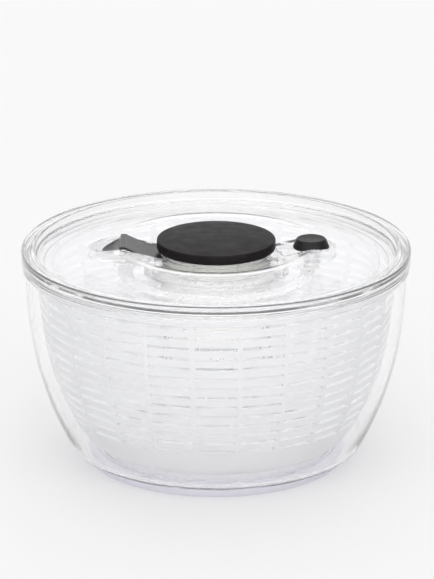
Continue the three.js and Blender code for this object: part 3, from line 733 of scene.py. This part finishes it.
def coil(name, radius, wire, low, high, turns, x=0.0):
    """A wire wound into a spring, as a closed mesh."""
    steps = int(turns * 40)
    section = 10
    bm = bmesh.new()
    rows = []
    for step in range(steps + 1):
        t = step / steps
        angle = 2 * math.pi * turns * t
        z = low + wire + (high - low - 2 * wire) * t
        out = Vector((math.cos(angle), math.sin(angle), 0))
        centre = Vector((x, 0, z)) + out * radius
        row = []
        for k in range(section):
            turn = 2 * math.pi * k / section
            point = centre + out * wire * math.cos(turn) + Vector((0, 0, wire * math.sin(turn)))
            row.append(bm.verts.new(point * MM))
        rows.append(row)
    for a, b in zip(rows, rows[1:]):
        for k in range(section):
            j = (k + 1) % section
            bm.faces.new((a[k], a[j], b[j], b[k]))
    bm.faces.new(rows[0][::-1])
    bm.faces.new(rows[-1])
    return finish_mesh(name, bm)


def make_controls():
    dress(make_lever(), SMOKE, "lever", "smoke_plastic", "lock_lever")
    screw = make_screw("lock_screw_turned", 1.4, 136.2, 138.1, 149, LEVER_STEM_X, 0)
    dress(screw, STEEL, "lever", "spring_steel", "lock_screw")
    button = turned("brake_button_rubber", [
        (0, 148.3), (12.4, 148.3, 0.4), (12.4, 149.3, 0.5), (9.9, 155, 1.6), (8.2, 154.8, 1.0), (0, 154.0),
    ], ROUND // 2, BRAKE_X)
    dress(button, RUBBER, "brake", "black_rubber", "brake_button")
    stem = turned("brake_stem_frosted", [
        (0, 134.8), (4.4, 134.8, 0.5), (4.4, 138.6, 0.2), (6.4, 138.6, 0.3), (6.4, 140.6, 0.3),
        (4.4, 140.6, 0.2), (4.4, 147.9, 0.5), (0, 147.9),
    ], SMALL, BRAKE_X)
    dress(stem, FROSTED, "brake", "frosted_plastic", "brake_stem")
    pad = turned("brake_pad_turned", [
        (0, 132.9), (5.5, 132.9, 0.4), (5.5, 134.4, 0.4), (0, 134.4),
    ], SMALL, BRAKE_X)
    dress(pad, ACETAL, "brake", "white_acetal", "brake_pad")
    spring = coil("brake_spring_wire", 6, 0.5, 143.3, 148, 3, BRAKE_X)
    dress(spring, STEEL, None, "spring_steel", "brake_spring")
    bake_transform(spring)


# ------------------------------------------------------------------ plunger and helix drive


def make_plunger():
    ceiling = PLUNGER_TOP - 2
    plunger = turned("plunger_ivory", [
        (0, ceiling), (7.6, ceiling, 0.4), (7.6, 86, 0.3), (9.5, 86, 0.3), (9.5, ceiling, 0.6),
        (PLUNGER_RADIUS - 2, ceiling, 0.8), (PLUNGER_RADIUS - 2, 88, 0.3), (PLUNGER_RADIUS, 88, 0.5),
        (PLUNGER_RADIUS, PLUNGER_TOP, 0.8), (0, PLUNGER_TOP),
    ])
    for degrees in KEY_ANGLES:
        groove = box_plan(PLUNGER_RADIUS - 0.9, PLUNGER_RADIUS + 2, -1.2, 1.2, degrees)
        combine(plunger, prism("groove", groove, 87, 146.6), "DIFFERENCE")
    return plunger


def make_rod():
    """A flat bar twisted about its length, on a round pin."""
    low, high = 84.5, 139.5
    half_width, half_thick = 4.5, 2.0
    steps = 140
    across = 6
    section = []
    for k in range(across):
        section.append((-half_width + 2 * half_width * k / across, -half_thick))
    section.append((half_width, -half_thick))
    for k in range(across):
        section.append((half_width - 2 * half_width * k / across, half_thick))
    section.append((-half_width, half_thick))
    bm = bmesh.new()
    rows = []
    for step in range(steps + 1):
        z = low + (high - low) * step / steps
        turn = Matrix.Rotation(2 * math.pi * z / HELIX_LEAD, 2)
        row = []
        for corner in section:
            x, y = turn @ Vector(corner)
            row.append(bm.verts.new((x * MM, y * MM, z * MM)))
        rows.append(row)
    for a, b in zip(rows, rows[1:]):
        for k in range(len(section)):
            j = (k + 1) % len(section)
            bm.faces.new((a[k], a[j], b[j], b[k]))
    bm.faces.new(rows[0][::-1])
    bm.faces.new(rows[-1])
    rod = finish_mesh("helix_rod_twisted", bm)
    return combine(rod, prism("rod_pin", circle_plan(3), 74, 85.5), "UNION")


def make_drive():
    cap = turned("knob_cap_soft", [
        (0, 152.6), (36.4, 152.6, 0.5), (36.4, KNOB_LOW, 0.3), (KNOB_RADIUS, KNOB_LOW, 1.0),
        (KNOB_RADIUS, 154.7, 1.1), (34, 155.6, 3), (24, 156.4, 3), (12, 156.9, 3), (0, KNOB_TOP),
    ])
    dress(cap, SOFT_BLACK, "plunger", "soft_touch_black", "knob_cap")
    core = turned("knob_core_turned", [(0, KNOB_LOW), (35.9, KNOB_LOW, 0.4), (35.9, 152.2, 0.4), (0, 152.2)])
    dress(core, ACETAL, "plunger", "white_acetal", "knob_core")
    dress(make_plunger(), IVORY, "plunger", "ivory_plastic", "plunger_body")
    spring = coil("return_spring_wire", 11.7, 0.7, 85.4, 145.4, 7)
    dress(spring, STEEL, None, "spring_steel", "return_spring")
    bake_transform(spring)
    dress(make_rod(), STEEL, "drive", "spring_steel", "helix_rod")


def make_rotor():
    cup = turned("drive_cup_frosted", [
        (36.2, CUP_LOW, 0.3), (38.2, CUP_LOW, 0.5), (38.2, 132.5, 0.8), (CUP_FLANGE, 132.5, 0.5),
        (CUP_FLANGE, CUP_TOP, 0.5), (36.2, CUP_TOP, 0.5),
    ])
    dress(cup, FROSTED, "rotor", "frosted_plastic", "drive_cup")
    bottom = turned("cup_bottom_frosted", [
        (0, 71.5), (40, 71.5, 1.2), (40, 74.6, 0.6), (35.8, 74.6, 0.2), (35.8, 76.6, 0.4), (3.4, 76.6, 0.3),
        (3.4, 73.6, 0.2), (0, 73.6),
    ])
    dress(bottom, FROSTED, "rotor", "frosted_plastic", "cup_bottom_cap")
    cover = turned("clutch_cover_turned", [
        (6, 81.4, 0.3), (35.3, 81.4, 0.4), (35.3, 83.2, 0.4), (6, 83.2, 0.3),
    ])
    dress(cover, ACETAL, "rotor", "white_acetal", "clutch_cover")
    washer = turned("spring_washer_turned", [
        (9.8, 83.6, 0.2), (14, 83.6, 0.2), (14, 84.6, 0.2), (9.8, 84.6, 0.2),
    ], SMALL)
    dress(washer, STEEL, "rotor", "spring_steel", "spring_washer")
    table = turned("turntable_clear", [
        (38.6, 127.4, 0.3), (68, 127.4, 3), (112, 135.6, 0.4), (112, 133.6, 0.3),
        (118, 133.6, 0.5), (118, 136.6, 0.3), (TABLE_RADIUS, 136.6, 0.3), (TABLE_RADIUS, TABLE_TOP, 0.6),
        (111, TABLE_TOP, 1.5), (DISH_RADIUS, 129.8, 0.2), (38.6, 129.8, 0.3),
    ])
    track = turned("brake_track_frosted", [
        (57, 129.9, 0.1), (DISH_RADIUS, 129.9, 0.1), (DISH_RADIUS, 130.3, 0.1), (57, 130.3, 0.1),
    ])
    dress(track, FROSTED, "rotor", "frosted_plastic", "turntable")
    dress(table, CLEAR, "rotor", "clear_plastic", "turntable")
    clip = turned("turntable_clip_clear", [
        (38.6, 124.6, 0.3), (42, 124.6, 0.6), (42, 127, 0.6), (38.6, 127, 0.3),
    ])
    dress(clip, CLEAR, "rotor", "clear_plastic", "turntable_clip")


def dress_cad_nodes():
    """CAD nodes whose shape is right keep it, with softened edges."""
    for node in ("lock_retainer", "drive_nut", "clutch_rotor", "pawl_1", "pawl_2", "pawl_3", "ratchet_ring"):
        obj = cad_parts[node]
        obj.data.materials.clear()
        obj.data.materials.append(ACETAL)
        soften(obj, 0.2, angle=50)


# ------------------------------------------------------------------ floor, light and camera


def make_stage():
    bm = bmesh.new()
    bmesh.ops.create_grid(bm, x_segments=1, y_segments=1, size=9)
    floor = finish_mesh("floor", bm)
    floor.location.z = -0.0002
    floor.data.materials.append(floor_surface())


def make_light():
    """A white studio all round, darker low down and at the sides, and brighter behind the camera."""
    world = bpy.data.worlds.new("studio")
    bpy.context.scene.world = world
    world.use_nodes = True
    nodes = world.node_tree.nodes
    links = world.node_tree.links
    place = nodes.new("ShaderNodeTexCoord")
    split = nodes.new("ShaderNodeSeparateXYZ")
    links.new(place.outputs["Generated"], split.inputs["Vector"])
    across = nodes.new("ShaderNodeMath")
    across.operation = "ABSOLUTE"
    links.new(split.outputs["X"], across.inputs[0])
    sides = map_range(nodes, links, across.outputs[0], (0.4, 0.92), (1.0, 0.22))
    low_down = map_range(nodes, links, split.outputs["Z"], (0.0, 0.4), (0.75, 1.0))
    front = map_range(nodes, links, split.outputs["Y"], (-0.8, -0.2), (1.5, 1.0))
    level = sides
    for factor in (low_down, front):
        product = nodes.new("ShaderNodeMath")
        product.operation = "MULTIPLY"
        links.new(level, product.inputs[0])
        links.new(factor, product.inputs[1])
        level = product.outputs[0]
    background = nodes["Background"]
    links.new(level, background.inputs["Color"])
    background.inputs["Strength"].default_value = 1.14


def make_camera():
    data = bpy.data.cameras.new("camera")
    data.sensor_fit = "AUTO"
    data.sensor_width = 36
    data.lens = 226.07
    data.shift_x = 0.0014
    camera = bpy.data.objects.new("camera", data)
    target = Vector((0, 0, 0.1178))
    elevation = math.radians(18.53)
    distance = 2.5
    camera.location = target + Vector((0, -math.cos(elevation), math.sin(elevation))) * distance
    camera.rotation_euler = (target - camera.location).to_track_quat("-Z", "Y").to_euler()
    bpy.context.scene.collection.objects.link(camera)
    bpy.context.scene.camera = camera


def set_light_paths():
    scene = bpy.context.scene
    scene.view_settings.view_transform = "Standard"
    scene.cycles.max_bounces = 24
    scene.cycles.transmission_bounces = 24
    scene.cycles.glossy_bounces = 8
    scene.cycles.diffuse_bounces = 6
    scene.cycles.transparent_max_bounces = 40


make_camera()
make_standing_parts()
make_lid_parts()
make_controls()
make_drive()
make_rotor()
dress_cad_nodes()
make_stage()
make_light()
set_light_paths()
